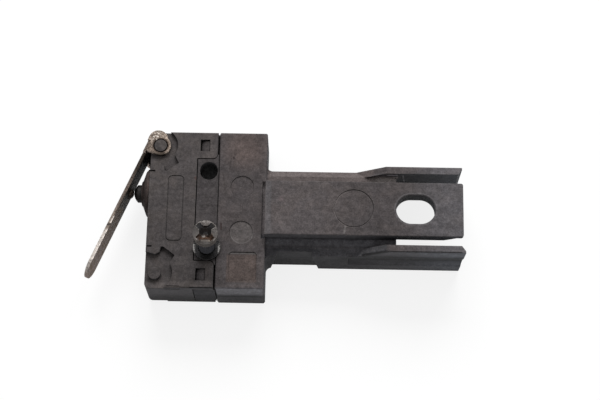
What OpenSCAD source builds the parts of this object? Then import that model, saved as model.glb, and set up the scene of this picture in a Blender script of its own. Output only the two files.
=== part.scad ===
// Sealed micro switch with a hinged steel lever, seated in a moulded bracket with a slotted arm.
// It lies on its back: the back plane is z = 0 and +Z points out of the front face.
// The modules are drawn from the seam between switch and bracket, on the mid-line of the switch,
// and placed() moves that seam so that the origin is the middle of the bracket block's back face.

/* [Switch case] */
// Length of the case along Y
case_len = 20; // [18.7:0.1:21.3]
// Depth of the case outside the bracket along X
case_out = 8.5; // [8:0.1:9.5]
// Thickness of the case along Z
case_t = 6.4; // [6:0.1:7]
// Wall behind the front and the back face
face_wall = 1.0; // [0.8:0.05:1.2]
// Wall at both ends
end_wall = 0.8; // [0.6:0.05:1]
// Wall that the plunger passes
roof_wall = 0.9; // [0.7:0.05:1.1]
// Corner radius on the plunger side
corner_r = 0.6; // [0.4:0.05:0.8]
// Cut on the long edges
edge_cut = 0.12; // [0.05:0.01:0.2]

/* [Base and clips] */
// Width of the base band seen between the cover and the bracket
base_band = 2.72; // [2.5:0.02:3]
// Length of the base inside the bracket
case_tail = 1.7; // [1.4:0.05:2]
// Width of each cover tab along Y
tab_w = 3.4; // [3.2:0.05:3.5]
// Thickness of each cover tab
tab_t = 0.75; // [0.6:0.05:0.85]
// Corner radius of each cover tab
tab_r = 0.6; // [0.3:0.05:0.8]
// Clip window along X
window_x = 1.18; // [1:0.02:1.3]
// Clip window along Y
window_y = 1.52; // [1.2:0.02:1.7]
// Diameter of the fixing holes
hole_d = 2.2; // [2.1:0.02:2.3]
// Distance between the fixing holes
hole_gap = 9.9; // [9.5:0.05:10.1]
// Length of the long fixing hole
hole_long = 2.32; // [2.3:0.02:2.5]

/* [Lever bosses] */
// Radius of the bosses that carry the lever
boss_r = 0.76; // [0.7:0.02:0.82]
// Boss centre from the plunger side
boss_in_x = 1.18; // [1.1:0.02:1.3]
// Boss centre from the end of the case
boss_in_y = 1.8; // [1.7:0.02:1.9]
// Depth of the recess around each boss
recess_deep = 0.5; // [0.45:0.01:0.6]
// Radius of the recess around each boss
recess_r = 2.16; // [2.12:0.02:2.3]

/* [Lever] */
// Sheet thickness
sheet_t = 0.4; // [0.35:0.01:0.42]
// Length from the pivot to the tip
lever_len = 18.4; // [16:0.1:20]
// Lean of the free lever away from the case, degrees
lever_lean = 22.5; // [22:0.1:24]
// Outer face from the pivot axis
lever_off = 1.82; // [1.8:0.01:1.9]
// Radius of the lugs around the pivot
lug_r = 1.26; // [1.2:0.02:1.4]
// Full width of the lever up to this distance from the pivot
lever_neck = 1.45; // [1.4:0.05:2]
// Blade width beside the neck
blade_root_w = 3.4; // [3:0.1:3.8]
// Blade width at the tip
blade_tip_w = 3.6; // [3:0.1:3.8]
// Height of the pressed dimple
dimple_h = 0.42; // [0.35:0.01:0.45]

/* [Plunger and boot] */
// Radius of the plunger
plunger_r = 1.1; // [1:0.02:1.15]
// Plunger axis from the mid-line
plunger_y = 2.9; // [2.7:0.05:3]
// Plunger tip in front of the case
plunger_out = 2.12; // [2:0.01:2.14]
// Radius of the plunger dome
dome_r = 1.46; // [1.3:0.02:1.8]
// Radius of the boot on the case
boot_base_r = 3.05; // [2.8:0.05:3.1]
// Radius of the boot around the plunger
boot_top_r = 1.5; // [1.4:0.02:1.6]
// Height of the boot
boot_h = 1.1; // [0.9:0.02:1.2]

/* [Contacts] */
// Sheet thickness of the terminals
term_t = 0.5; // [0.4:0.02:0.6]
// Width of the terminals
term_w = 2.6; // [2.2:0.1:2.8]
// Common terminal from the end of the case
common_in = 2.1; // [2:0.05:2.4]
// Normally open terminal from the mid-line
open_y = -0.9; // [-1.5:0.1:-0.5]
// Normally closed terminal from the end of the case
closed_in = 1.8; // [1.75:0.05:2]
// Contact pair from the normally closed terminal
contact_in = 2; // [1.8:0.1:2.2]
// Radius of the contact heads
contact_r = 0.8; // [0.7:0.05:0.9]
// Thickness of the contact heads
contact_t = 0.23; // [0.2:0.01:0.26]
// Open gap between the contacts
contact_gap = 0.45; // [0.4:0.01:0.5]
// Thickness of the moving blade
strip_t = 0.24; // [0.18:0.02:0.28]
// Width of the moving blade
strip_w = 3.0; // [2.6:0.1:3.4]
// Blade from the seam
strip_x = -4.6; // [-4.7:0.05:-4.5]

/* [Bracket block] */
// Block along X
block_len = 5.9; // [5.5:0.1:6.4]
// Wall of the block
block_wall = 0.9; // [0.7:0.05:1]
// Wall of the block toward the arm
block_end = 0.8; // [0.6:0.05:1]
// Height of the parting line
parting_z = 2.45; // [1.8:0.05:3]
// Side draft of the block
block_draft = 0.1; // [0.06:0.01:0.14]
// Radius of the two round marks
mark_r = 1.45; // [1.2:0.05:1.6]
// Round marks from the mid-line
mark_y = 2.9; // [2.6:0.05:3.2]
// Depth of the round marks and the square field
mark_deep = 0.1; // [0.05:0.01:0.15]

/* [Bracket arm] */
// End of the arm from the seam
arm_end = 29.85; // [28.5:0.05:31]
// Half width over the side walls
arm_half = 5.43; // [5.2:0.01:5.6]
// Thickness of the side walls
rail_t = 0.88; // [0.76:0.02:0.96]
// Height of the shoulders
shoulder_z = 5.9; // [5.7:0.05:6.1]
// Height of the side walls below the sloped edge
wall_z = 5.25; // [5.1:0.05:5.4]
// Thickness of the wall under the shoulders
shoulder_t = 1.1; // [1:0.05:1.2]
// Height of the pad and the rails
pad_z = 7.56; // [7.4:0.02:7.8]
// Half width of the pad
pad_half = 3.42; // [3.2:0.02:3.5]
// Thickness of the tongue at its edges
tongue_t = 1.46; // [1.3:0.02:1.7]
// Start of the fork from the seam
fork_x = 21.8; // [21.2:0.1:22.4]
// Start of the rail ramps from the seam
ramp_x = 16.9; // [16:0.1:17.5]
// Length of the rail ramps
ramp_len = 3.6; // [3:0.1:4]
// Middle of the fixing slot from the seam
slot_x = 24.1; // [23.9:0.05:24.4]
// Width of the fixing slot
slot_w = 3.64; // [3.5:0.02:4]
// Length of the fixing slot
slot_len = 4.76; // [4.5:0.02:5.2]
// Depth of the fixing slot
slot_deep = 1.95; // [1.8:0.05:2.2]
// Radius of the ring mark on the pad
ring_r = 2.43; // [2.2:0.01:2.6]

/* [Screw] */
// Thread radius
screw_r = 0.98; // [0.9:0.01:1]
// Thread length
screw_len = 11.3; // [10.5:0.05:12]
// Thread pitch
screw_pitch = 0.4; // [0.35:0.05:0.5]
// Head radius
head_r = 1.48; // [1.4:0.02:1.6]
// Head height
head_h = 1.5; // [1.4:0.05:1.7]
// Outer radius of the spring washer
washer_r = 1.66; // [1.6:0.02:1.8]
// Thickness of the spring washer
washer_t = 0.5; // [0.4:0.05:0.6]

/* [Hidden] */
$fn = 48;

// overshoot of cutting tools, and the fits that hold the pieces apart
past = 1;
seam_gap = 0.03;
part_gap = 0.04;
band_gap = 0.12;
shut_gap = 0.09;
tab_gap = 0.2;
slide_gap = 0.05;
pin_gap = 0.13;
touch_gap = 0.02;

// switch case
case_half = case_len / 2;
case_mid = case_t / 2;
roof_x = -case_out;
roof_in = roof_x + roof_wall;
cavity_half = case_half - end_wall;
tab_from = case_half - tab_w;
window_end = 1.19;
window_rim = 0.95;
groove_w = 0.13;
groove_deep = 0.08;
plate_w = 2.0;
plate_len = 8.45;
plate_x = -5.2;
plate_y = 0.075;
plate_r = 0.55;
nick_len = 1.95;
nick_w = 0.24;
nick_z = 0.62;
dash_len = 0.7;
dash_w = 0.2;
dash_in = 3.35;

// base
hole_x = -1.22;
hole_y = hole_gap / 2;
rim_deep = 0.8;
rim_t = 0.5;
tail_half = case_half - block_wall - slide_gap;
tail_low = block_wall + slide_gap;
seal_t = 0.4;
clip_gap = 0.1;
clip_top = 0.2;
clip_drop = 0.25;
clip_crest = 0.3;

// lever
boss_x = roof_x + boss_in_x;
boss_y = case_half - boss_in_y;
lug_low = recess_deep - slide_gap - sheet_t;
lug_tail_x = 0.62;
lug_tail_r = 1.2;
lug_back = lug_tail_x + lug_tail_r;
web_back = 0.1;
bend_in = 0.15;
bend_r = sheet_t + bend_in;
blade_lap = 0.2;
// the blade lies above the middle of the case
blade_rise = 0.65;
blade_mid = case_mid + blade_rise;
dimple_at = 6.4;
dimple_r = 0.8;
press_r = 0.55;
// outline of the hooked recess beside each boss, from the boss centre, as shares of recess_r
hook = recess_r * [
    [-1.39, -1.47], [-0.01, -1.09], [0.23, -1.21], [0.3, -1.53], [0.42, -1.55],
    [1.09, -1.05], [0.83, -0.55], [0, 0], [0, 1.39], [-1.39, 1.39]
];

// plunger and boot
plunger_tip = roof_x - plunger_out;
plunger_in = 1.28;
plunger_end = roof_in + plunger_in;
stop_lip = 0.65;
stop_r = plunger_r + stop_lip;
stop_t = 0.6;
boot_wall = 0.45;
neck_r = plunger_r + slide_gap + boot_wall;
boot_lip = 0.3;

// contacts
common_y = case_half - common_in;
closed_y = closed_in - case_half;
contact_y = closed_y + contact_in;
strip_top = strip_x - strip_t / 2;
strip_low = strip_x + strip_t / 2;
rivet_r = 0.45;
closed_face = strip_top - contact_t - touch_gap;
open_face = strip_low + contact_t + contact_gap;
pivot_x = strip_low + touch_gap + term_t / 2;
term_clear = 0.4;
term_end = block_len - block_end - term_clear;
eyelet_r = 0.5;
eyelet_in = 1.1;
spring_t = 0.2;
spring_w = 1.6;
spring_foot = strip_top - touch_gap;
spring_crown = plunger_end + touch_gap;
spring_rise = spring_foot - spring_crown;
spring_r = 2.55;

// bracket
frame_x = block_len / 2;
pocket_end = block_len - block_end;
rail_in = arm_half - rail_t;
shoulder_low = shoulder_z - shoulder_t;
tongue_low = pad_z - tongue_t;
pad_sink = 0.08;
pad_from = block_len - pad_sink;
moat_w = 0.41;
moat_lip = 0.25;
moat_half = pad_half + moat_lip;
moat_deep = 0.5;
moat_z = case_t - moat_deep;
bevel_x = 0.75;
bevel_z = 0.1;
parting_step = 0.03;
block_half = case_half + block_draft;
lead_x = 2.3;
lead_len = 1.5;
lead_z = 0.9;
end_r = 0.3;
fillet_r = 0.7;
rail_short = 0.08;
rail_end_far = arm_end - rail_short;
rail_past = 0.27;
rail_end_near = arm_end + rail_past;
rail_cut = 0.5;
end_slant = 0.3;
dent_from = 6.5;
dent_to = 12.4;
dent_slope = 0.9;
dent_deep = 0.44;
flute_z = 3.5;
flute_r = 5.25;
flute_deep = 0.25;
flute_from = 16;
wire_half = 2.6;
wire_low = 1.2;
field_x = 1.55;
field_y = -9.08;
field_w = 3.4;
field_len = 3.68;
field_r = 0.4;
ring_x = 16.6;
rim_cut = 0.1;
pad_cut = 0.07;
boss_side = 0.7;
boss_end = 0.75;

// screw
screw_low = 0.05;
thread_h = 0.2;
screw_core = screw_r - thread_h;
screw_turns = round(screw_len / screw_pitch);
crown_r = 4;
cross_r = 1.6;
cross_tip = 0.3;
cross_w = 0.66;
cross_hub = 0.74;
cross_deep = 1.2;
split_w = 0.35;
// the screw stands loose and leans as far as its hole lets it
lean_gap = 0.014;
screw_lean = atan((hole_d / 2 - screw_r - lean_gap) / case_mid);
washer_x = hole_x + (case_mid + washer_t / 2) * tan(screw_lean);

// Helpers

module placed() {
    translate([-frame_x, 0, 0]) children();
}

module slab(xs, ys, zs) {
    translate([xs[0], ys[0], zs[0]]) cube([xs[1] - xs[0], ys[1] - ys[0], zs[1] - zs[0]]);
}

// profile drawn as (y, z)
module along_x(x0, x1) {
    translate([x0, 0, 0]) rotate([90, 0, 90]) linear_extrude(height = x1 - x0) children();
}

// profile drawn as (x, z)
module along_y(y0, y1) {
    translate([0, y1, 0]) rotate([90, 0, 0]) linear_extrude(height = y1 - y0) children();
}

// profile drawn as (x, y)
module along_z(z0, z1) {
    translate([0, 0, z0]) linear_extrude(height = z1 - z0) children();
}

module rod_x(x0, x1, r, y, z) {
    translate([x0, y, z]) rotate([0, 90, 0]) cylinder(h = x1 - x0, r = r);
}

module both_ends() {
    children();
    mirror([0, 1, 0]) children();
}

module both_faces() {
    children();
    translate([0, 0, case_t]) mirror([0, 0, 1]) children();
}

module round_plate(x0, y0, w, h, r) {
    translate([x0 + r, y0]) square([w - 2 * r, h]);
    translate([x0, y0 + r]) square([w, h - 2 * r]);
    for (x = [x0 + r, x0 + w - r])
        for (y = [y0 + r, y0 + h - r])
            translate([x, y]) circle(r = r);
}

module cut_rect(x0, y0, x1, y1, c) {
    polygon([
        [x0 + c, y0], [x1 - c, y0], [x1, y0 + c], [x1, y1 - c],
        [x1 - c, y1], [x0 + c, y1], [x0, y1 - c], [x0, y0 + c]
    ]);
}

// Switch case

module cover_plan() {
    deep = case_out - tab_gap;
    translate([roof_x + corner_r, -case_half]) square([deep - corner_r, case_len]);
    translate([roof_x, -case_half + corner_r]) square([deep, case_len - 2 * corner_r]);
    for (s = [-1, 1])
        translate([roof_x + corner_r, s * (case_half - corner_r)]) circle(r = corner_r);
}

module cover_block() {
    intersection() {
        along_z(0, case_t) cover_plan();
        along_x(roof_x - past, past) cut_rect(-case_half, 0, case_half, case_t, edge_cut);
        along_y(-case_len, case_len) cut_rect(roof_x, 0, -tab_gap, case_t, edge_cut);
    }
}

// opening of the cover between its tabs, grown by gap for the cover and shrunk for the base
module band_plan(gap) {
    half = tab_from + gap;
    round_x = tab_gap + tab_r;
    translate([-base_band - gap, -half]) square([base_band + past, 2 * half]);
    translate([-round_x, -half - tab_r]) square([round_x + past, 2 * (half + tab_r)]);
}

module band_corners(gap) {
    half = tab_from + gap;
    for (s = [-1, 1])
        translate([-tab_gap - tab_r, s * (half + tab_r)]) circle(r = tab_r);
}

module hook_recess() {
    translate([boss_x, boss_y]) {
        circle(r = recess_r);
        polygon(hook);
    }
}

module switch_cover() {
    color([0.24, 0.23, 0.22]) placed() difference() {
        union() {
            difference() {
                cover_block();
                slab([roof_in, past], [-cavity_half, cavity_half], [face_wall, case_t - face_wall]);
                slab([-base_band, past], [-case_len, case_len], [tab_t, case_t - tab_t]);
                along_z(-past, case_t + past) difference() {
                    band_plan(0);
                    band_corners(0);
                }
                both_faces() both_ends()
                    along_z(case_t - recess_deep, case_t + past) hook_recess();
            }
            both_faces() both_ends() translate([boss_x, boss_y, case_t - face_wall])
                cylinder(h = face_wall, r = boss_r);
        }
        both_ends() slab([-window_end - window_x, -window_end],
            [case_half - window_rim - window_y, case_half - window_rim], [-past, case_t + past]);
        rod_x(roof_x - past, roof_in + past, neck_r, plunger_y, case_mid);
        translate([plate_x, plate_y, 0]) along_z(case_t - groove_deep, case_t + past) difference() {
            round_plate(-plate_w / 2, -plate_len / 2, plate_w, plate_len, plate_r);
            round_plate(groove_w - plate_w / 2, groove_w - plate_len / 2,
                plate_w - 2 * groove_w, plate_len - 2 * groove_w, plate_r - groove_w);
        }
        edge_nick([-past, nick_w], [case_t - groove_deep, case_t + past]);
        edge_nick([-past, groove_deep], [case_t - nick_z - nick_w, case_t - nick_z]);
        both_ends() slab([roof_x - past, roof_x + dash_len],
            [boss_y - dash_in - dash_w / 2, boss_y - dash_in + dash_w / 2],
            [case_t - dash_w, case_t + past]);
    }
}

// one of the two fine lines on the edge of the cover away from the lever
module edge_nick(ys, zs) {
    slab([plate_x - nick_len / 2, plate_x + nick_len / 2], [ys[0] - case_half, ys[1] - case_half], zs);
}

module clip() {
    low = case_t - tab_t - 2 * shut_gap;
    top = case_t - clip_top;
    x0 = -window_end - window_x + clip_gap;
    x1 = -window_end - part_gap;
    y0 = case_half - window_rim - window_y + part_gap;
    y1 = case_half - window_rim - clip_gap;
    along_y(y0, y1)
        polygon([[x0, low], [x1, low], [x1, top], [x1 - clip_crest, top], [x0, top - clip_drop]]);
}

module terminal_slot(y) {
    slab([-base_band - past, case_tail + past],
        [y - term_t / 2 - touch_gap, y + term_t / 2 + touch_gap],
        [case_mid - term_w / 2 - touch_gap, case_mid + term_w / 2 + touch_gap]);
}

module fixing_hole(y, stretch) {
    for (s = [-1, 1])
        translate([hole_x, y + s * stretch / 2, -past]) cylinder(h = case_t + 2 * past, r = hole_d / 2);
    if (stretch > 0)
        slab([hole_x - hole_d / 2, hole_x + hole_d / 2], [y - stretch / 2, y + stretch / 2],
            [-past, case_t + past]);
}

module switch_base() {
    color([0.21, 0.21, 0.21]) placed() difference() {
        union() {
            intersection() {
                along_z(0, case_t) difference() {
                    band_plan(-band_gap);
                    band_corners(-band_gap);
                }
                slab([-base_band, -seam_gap], [-case_half, case_half], [0, case_t]);
            }
            slab([-base_band + shut_gap, -seam_gap], [-case_half, case_half],
                [tab_t + shut_gap, case_t - tab_t - shut_gap]);
            slab([-past, case_tail], [-tail_half, tail_half], [tail_low, case_t - tail_low]);
            difference() {
                slab([-base_band - rim_deep, -base_band / 2],
                    [-cavity_half + part_gap, cavity_half - part_gap],
                    [face_wall + part_gap, case_t - face_wall - part_gap]);
                slab([-base_band - rim_deep - past, -base_band + part_gap],
                    [-cavity_half + part_gap + rim_t, cavity_half - part_gap - rim_t],
                    [face_wall + part_gap + rim_t, case_t - face_wall - part_gap - rim_t]);
            }
            both_faces() both_ends() clip();
        }
        fixing_hole(hole_y, hole_long - hole_d);
        fixing_hole(-hole_y, 0);
        terminal_slot(common_y);
        terminal_slot(open_y);
        terminal_slot(closed_y);
    }
}

module terminal_seal() {
    color([0.16, 0.12, 0.08]) placed() difference() {
        slab([case_tail, case_tail + seal_t], [-tail_half, tail_half], [tail_low, case_t - tail_low]);
        terminal_slot(common_y);
        terminal_slot(open_y);
        terminal_slot(closed_y);
    }
}

// Plunger and boot

module plunger_boot() {
    bore = plunger_r + slide_gap;
    color([0.16, 0.13, 0.12]) placed() translate([roof_x, plunger_y, case_mid]) rotate([0, -90, 0])
        rotate_extrude() polygon([
            [bore, -roof_wall], [neck_r, -roof_wall], [neck_r, 0], [boot_base_r, 0],
            [boot_base_r, boot_lip], [boot_base_r - boot_lip, boot_h / 2],
            [boot_top_r + boot_lip / 2, boot_h - boot_lip / 2], [boot_top_r, boot_h], [bore, boot_h]
        ]);
}

module plunger() {
    color([0.15, 0.15, 0.15]) placed() {
        intersection() {
            rod_x(plunger_tip - past, roof_x, plunger_r, plunger_y, case_mid);
            translate([plunger_tip + dome_r, plunger_y, case_mid]) sphere(r = dome_r);
        }
        rod_x(plunger_tip + dome_r, plunger_end, plunger_r, plunger_y, case_mid);
        rod_x(roof_in + part_gap, roof_in + part_gap + stop_t, stop_r, plunger_y, case_mid);
    }
}

// Lever, drawn with x from the pivot to the tip and y from the lever to the case

module lever_place() {
    placed() translate([boss_x, boss_y, 0]) rotate([0, 0, 270 - lever_lean]) children();
}

module channel_half(inset) {
    r = bend_r - inset;
    low = lug_low + inset;
    high = case_t - lug_low - inset;
    face = -lever_off + inset;
    translate([face + r, low]) square([lever_off + lug_r + past, high - low]);
    translate([face, low + r]) square([r, high - low - 2 * r]);
    for (z = [low + r, high - r])
        translate([face + r, z]) circle(r = r);
}

module lug_plan() {
    circle(r = lug_r);
    translate([-lug_tail_x, lug_tail_r - lever_off]) circle(r = lug_tail_r);
    translate([-lug_tail_x, -lever_off]) square([lug_tail_x + lug_r, lever_off]);
    translate([-lug_tail_x, -lever_off]) square([lug_tail_x + lever_neck, sheet_t]);
}

module blade_plan() {
    round_x = lever_len - blade_tip_w / 2;
    polygon([
        [lever_neck - blade_lap, blade_mid - blade_root_w / 2], [round_x, blade_mid - blade_tip_w / 2],
        [round_x, blade_mid + blade_tip_w / 2], [lever_neck - blade_lap, blade_mid + blade_root_w / 2]
    ]);
    translate([round_x, blade_mid]) circle(r = blade_tip_w / 2);
}

module actuator_lever() {
    inner = -lever_off + sheet_t;
    color([0.55, 0.5, 0.44]) lever_place() difference() {
        union() {
            intersection() {
                along_x(-web_back, lever_neck) difference() {
                    channel_half(0);
                    channel_half(sheet_t);
                }
                along_z(-past, case_t + past) lug_plan();
            }
            both_faces() intersection() {
                along_z(lug_low, lug_low + sheet_t) lug_plan();
                slab([-lug_back, touch_gap - web_back], [-lever_off, lug_back], [0, case_mid]);
            }
            along_y(-lever_off, inner) blade_plan();
            intersection() {
                translate([dimple_at, inner + dimple_h - dimple_r, case_mid]) sphere(r = dimple_r);
                slab([dimple_at - dimple_r, dimple_at + dimple_r], [inner - sheet_t / 2, past],
                    [case_mid - dimple_r, case_mid + dimple_r]);
            }
        }
        translate([0, 0, -past]) cylinder(h = case_t + 2 * past, r = boss_r + pin_gap);
        translate([dimple_at, -lever_off - press_r / 3, case_mid]) sphere(r = press_r);
    }
}

// Contacts

module terminal_bar(from_x, y) {
    difference() {
        slab([from_x, term_end], [y - term_t / 2, y + term_t / 2],
            [case_mid - term_w / 2, case_mid + term_w / 2]);
        translate([term_end - eyelet_in, y + term_t, case_mid]) rotate([90, 0, 0])
            cylinder(h = 2 * term_t, r = eyelet_r);
    }
}

module terminal_arm(x0, y0, y1) {
    slab([x0, x0 + term_t], [y0, y1], [case_mid - term_w / 2, case_mid + term_w / 2]);
}

module common_terminal() {
    color([0.72, 0.6, 0.36]) placed() {
        terminal_bar(pivot_x, common_y);
        translate([pivot_x, common_y, case_mid - term_w / 2]) cylinder(h = term_w, r = term_t / 2);
    }
}

module open_terminal() {
    back = open_face + contact_t;
    color([0.72, 0.6, 0.36]) placed() difference() {
        union() {
            terminal_bar(back, open_y);
            terminal_arm(back, contact_y - contact_r, open_y + term_t / 2);
        }
        rod_x(back - past, back + term_t + past, rivet_r, contact_y, case_mid);
    }
}

module closed_terminal() {
    back = closed_face - contact_t - term_t;
    color([0.72, 0.6, 0.36]) placed() difference() {
        union() {
            terminal_bar(back, closed_y);
            terminal_arm(back, closed_y - term_t / 2, contact_y + contact_r);
        }
        rod_x(back - past, back + term_t + past, rivet_r, contact_y, case_mid);
    }
}

module open_contact() {
    color([0.8, 0.8, 0.78]) placed() {
        rod_x(open_face, open_face + contact_t, contact_r, contact_y, case_mid);
        rod_x(open_face, open_face + contact_t + term_t, rivet_r, contact_y, case_mid);
    }
}

module closed_contact() {
    color([0.8, 0.8, 0.78]) placed() {
        rod_x(closed_face - contact_t, closed_face, contact_r, contact_y, case_mid);
        rod_x(closed_face - contact_t - term_t, closed_face, rivet_r, contact_y, case_mid);
    }
}

module moving_blade() {
    color([0.75, 0.55, 0.3]) placed() difference() {
        slab([strip_top, strip_low], [contact_y - contact_r, common_y + term_t],
            [case_mid - strip_w / 2, case_mid + strip_w / 2]);
        rod_x(strip_top - past, strip_low + past, rivet_r, contact_y, case_mid);
    }
}

module moving_contact() {
    color([0.8, 0.8, 0.78]) placed() {
        rod_x(strip_top - contact_t, strip_top, contact_r, contact_y, case_mid);
        rod_x(strip_low, strip_low + contact_t, contact_r, contact_y, case_mid);
        rod_x(strip_top - contact_t, strip_low + contact_t, rivet_r, contact_y, case_mid);
    }
}

module snap_spring() {
    color([0.6, 0.6, 0.58]) placed() along_z(case_mid - spring_w / 2, case_mid + spring_w / 2)
        intersection() {
            translate([spring_crown + spring_r, plunger_y]) difference() {
                circle(r = spring_r);
                circle(r = spring_r - spring_t);
            }
            translate([spring_crown - past, plunger_y - spring_r])
                square([spring_rise + past, 2 * spring_r]);
        }
}

// Bracket

// half section of the block with its parting step, drawn as (y, z)
module block_section() {
    foot = block_half - parting_step;
    polygon([
        [-foot + edge_cut, 0], [foot - edge_cut, 0], [foot, edge_cut], [foot, parting_z],
        [block_half, parting_z], [case_half, case_t - edge_cut], [case_half - edge_cut, case_t],
        [-case_half + edge_cut, case_t], [-case_half, case_t - edge_cut], [-block_half, parting_z],
        [-foot, parting_z], [-foot, edge_cut]
    ]);
}

module bracket_block() {
    difference() {
        intersection() {
            along_x(0, block_len) block_section();
            along_y(-case_len, case_len) cut_rect(0, 0, block_len, case_t, edge_cut);
            along_z(0, case_t) cut_rect(0, -block_half, block_len, block_half, 2 * edge_cut);
        }
        for (s = [-1, 1])
            translate([block_len / 2, s * mark_y, case_t - mark_deep]) cylinder(h = past, r = mark_r);
        along_z(case_t - mark_deep, case_t + past)
            round_plate(field_x, field_y, field_w, field_len, field_r);
        slab([pad_from - moat_w, pad_from], [-moat_half, moat_half], [moat_z, case_t + past]);
    }
}

// rail on top of a side wall, drawn as (x, z)
module rail_side(rail_end) {
    polygon([
        [ramp_x, wall_z], [rail_end, wall_z], [rail_end, pad_z - edge_cut], [rail_end - edge_cut, pad_z],
        [ramp_x + ramp_len, pad_z]
    ]);
}

module arm_wall(rail_end) {
    difference() {
        union() {
            along_x(pocket_end, rail_end)
                polygon([[rail_in, 0], [arm_half, 0], [arm_half, wall_z], [rail_in, shoulder_z]]);
            along_y(rail_in, arm_half) rail_side(rail_end);
        }
        translate([flute_from, arm_half + flute_r - flute_deep, flute_z]) rotate([0, 90, 0])
            cylinder(h = arm_end, r = flute_r);
        along_z(-past, pad_z + past) polygon([
            [rail_end + past, rail_in - past], [rail_end - rail_cut - past, rail_in - past],
            [rail_end - rail_cut, rail_in], [rail_end, arm_half - rail_t / 4],
            [rail_end + past, arm_half - rail_t / 4]
        ]);
        along_y(0, arm_half + past) polygon([
            [rail_end - end_slant, -past], [rail_end + past, -past], [rail_end + past, pad_z],
            [rail_end, pad_z], [rail_end - end_slant, 0]
        ]);
    }
    along_z(0, wall_z) difference() {
        translate([pocket_end, rail_in])
            square([block_end + fillet_r, rail_t + fillet_r]);
        translate([block_len + fillet_r, arm_half + fillet_r]) circle(r = fillet_r);
    }
}

// wall under the shoulders, drawn as (y, z)
module shoulder_section() {
    lap = rail_in + rail_t / 2;
    polygon([
        [-lap, shoulder_low], [lap, shoulder_low], [lap, wall_z], [rail_in, shoulder_z],
        [-rail_in, shoulder_z], [-lap, wall_z]
    ]);
}

// hollow on the outside of one side wall, drawn as (x, z)
module dent_side() {
    polygon([
        [dent_from, -past], [dent_to, -past], [dent_to, 0], [dent_to - dent_slope, shoulder_z],
        [dent_from + dent_slope, shoulder_z], [dent_from, 0]
    ]);
}

module pad_plan() {
    translate([pad_from, -pad_half]) square([arm_end - pad_from - end_r, 2 * pad_half]);
    translate([pad_from, -pad_half + end_r]) square([arm_end - pad_from, 2 * (pad_half - end_r)]);
    for (s = [-1, 1])
        translate([arm_end - end_r, s * (pad_half - end_r)]) circle(r = end_r);
}

module arm_pad() {
    root = shoulder_low;
    intersection() {
        along_z(root, pad_z) pad_plan();
        along_x(block_len - past, arm_end + past)
            cut_rect(-pad_half, root - past, pad_half, pad_z, pad_cut);
        along_y(-arm_half, arm_half) polygon([
            [pad_from, root], [fork_x, root], [fork_x, tongue_low], [arm_end - lead_x, tongue_low],
            [arm_end - lead_x + lead_len, tongue_low + lead_z], [arm_end, tongue_low + lead_z],
            [arm_end, pad_z], [pad_from + bevel_x, pad_z], [pad_from, pad_z - bevel_z]
        ]);
    }
}

module slot_cut(r, z0, z1, grow) {
    half = slot_len / 2 - slot_w / 2;
    for (s = [-1, 1])
        translate([slot_x + s * half, 0, z0]) cylinder(h = z1 - z0, r1 = r, r2 = r + grow);
    along_x(slot_x - half, slot_x + half)
        polygon([[-r, z0], [r, z0], [r + grow, z1], [-r - grow, z1]]);
}

module mounting_bracket() {
    color([0.2, 0.2, 0.2]) placed() difference() {
        union() {
            bracket_block();
            arm_wall(rail_end_far);
            mirror([0, 1, 0]) arm_wall(rail_end_near);
            along_x(pocket_end, fork_x) shoulder_section();
            slab([dent_from - rail_t / 2, dent_to + rail_t / 2],
                [-rail_in - rail_t / 2, -rail_in + dent_deep], [0, shoulder_low + shoulder_t / 2]);
            arm_pad();
            slab([fork_x - past, slot_x + slot_len / 2 + boss_end],
                [-slot_w / 2 - boss_side, slot_w / 2 + boss_side], [pad_z - slot_deep, pad_z - edge_cut]);
        }
        slab([-past, pocket_end], [-case_half + block_wall, case_half - block_wall],
            [block_wall, case_t - block_wall]);
        slab([pocket_end - past, block_len + past], [-wire_half, wire_half], [wire_low, shoulder_low]);
        along_y(-arm_half - past, -arm_half + dent_deep) dent_side();
        slot_cut(slot_w / 2, -past, pad_z + past, 0);
        slot_cut(slot_w / 2, pad_z - rim_cut, pad_z + rim_cut, 2 * rim_cut);
        translate([ring_x, 0, pad_z - groove_deep]) difference() {
            cylinder(h = past, r = ring_r);
            translate([0, 0, -past]) cylinder(h = 3 * past, r = ring_r - groove_w);
        }
    }
}

// Screw

module screw_thread() {
    rotate_extrude() polygon(concat(
        [[0, 0]],
        [for (i = [0 : 2 * screw_turns - 1]) [i % 2 == 0 ? screw_core : screw_r, i * screw_pitch / 2]],
        [[screw_core, screw_len], [0, screw_len]]
    ));
}

module fixing_screw() {
    color([0.3, 0.28, 0.26]) placed() translate([hole_x, -hole_y, case_mid])
        rotate([0, screw_lean, 0]) translate([0, 0, screw_low - case_mid]) {
            screw_thread();
            translate([0, 0, screw_len]) screw_head();
        }
}

module screw_head() {
    difference() {
        intersection() {
            cylinder(h = head_h, r = head_r);
            translate([0, 0, head_h - crown_r]) sphere(r = crown_r);
        }
        translate([0, 0, head_h]) cross_recess();
    }
}

// tapered cross, from its top down
module cross_recess() {
    intersection() {
        translate([0, 0, -cross_deep])
            cylinder(h = 2 * cross_deep, r1 = cross_tip, r2 = 2 * cross_r - cross_tip);
        union() {
            translate([0, 0, -cross_deep]) cylinder(h = 2 * cross_deep, r = cross_hub);
            for (a = [45, 135])
                rotate([0, 0, a])
                    slab([-head_r, head_r], [-cross_w / 2, cross_w / 2], [-cross_deep, cross_deep]);
        }
    }
}

module screw_washer() {
    color([0.45, 0.43, 0.4]) placed() translate([washer_x, -hole_y, case_t]) difference() {
        cylinder(h = washer_t, r = washer_r);
        translate([0, 0, -past]) cylinder(h = washer_t + 2 * past, r = screw_r + slide_gap);
        slab([-split_w / 2, split_w / 2], [0, washer_r + past], [-past, washer_t + past]);
    }
}

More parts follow.
